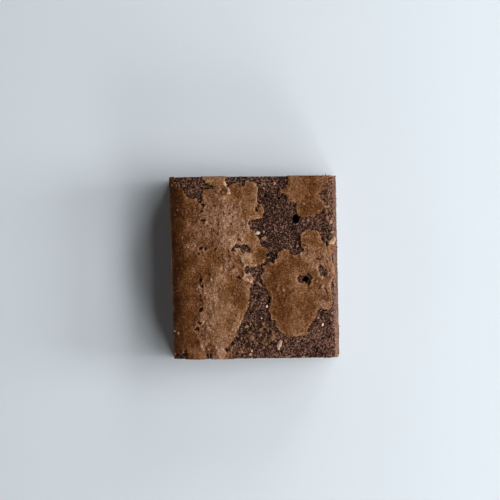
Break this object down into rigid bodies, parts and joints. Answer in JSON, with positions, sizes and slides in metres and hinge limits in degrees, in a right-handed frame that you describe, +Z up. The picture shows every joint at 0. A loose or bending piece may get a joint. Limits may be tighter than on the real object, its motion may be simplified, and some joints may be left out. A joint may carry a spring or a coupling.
{
  "type": "chocolate brownie",
  "caption": "Thick square of chocolate brownie with cut sides, a flat base and a papery top crust broken away in places to open crumb.",
  "frame": {"origin": "middle of the flat base", "axes": "+Z up through the crust, +Y towards the back cut along the longer side, +X towards the right cut"},
  "size_m": [0.0662, 0.0714, 0.0284],
  "materials": {
    "crust": "matt to satin, papery golden-brown cake crust",
    "crumb": "matt, open dark chocolate crumb of the broken top, the cuts and the base"
  },
  "bodies": {
    "root": {"brownie": "crust"}
  },
  "joints": []
}
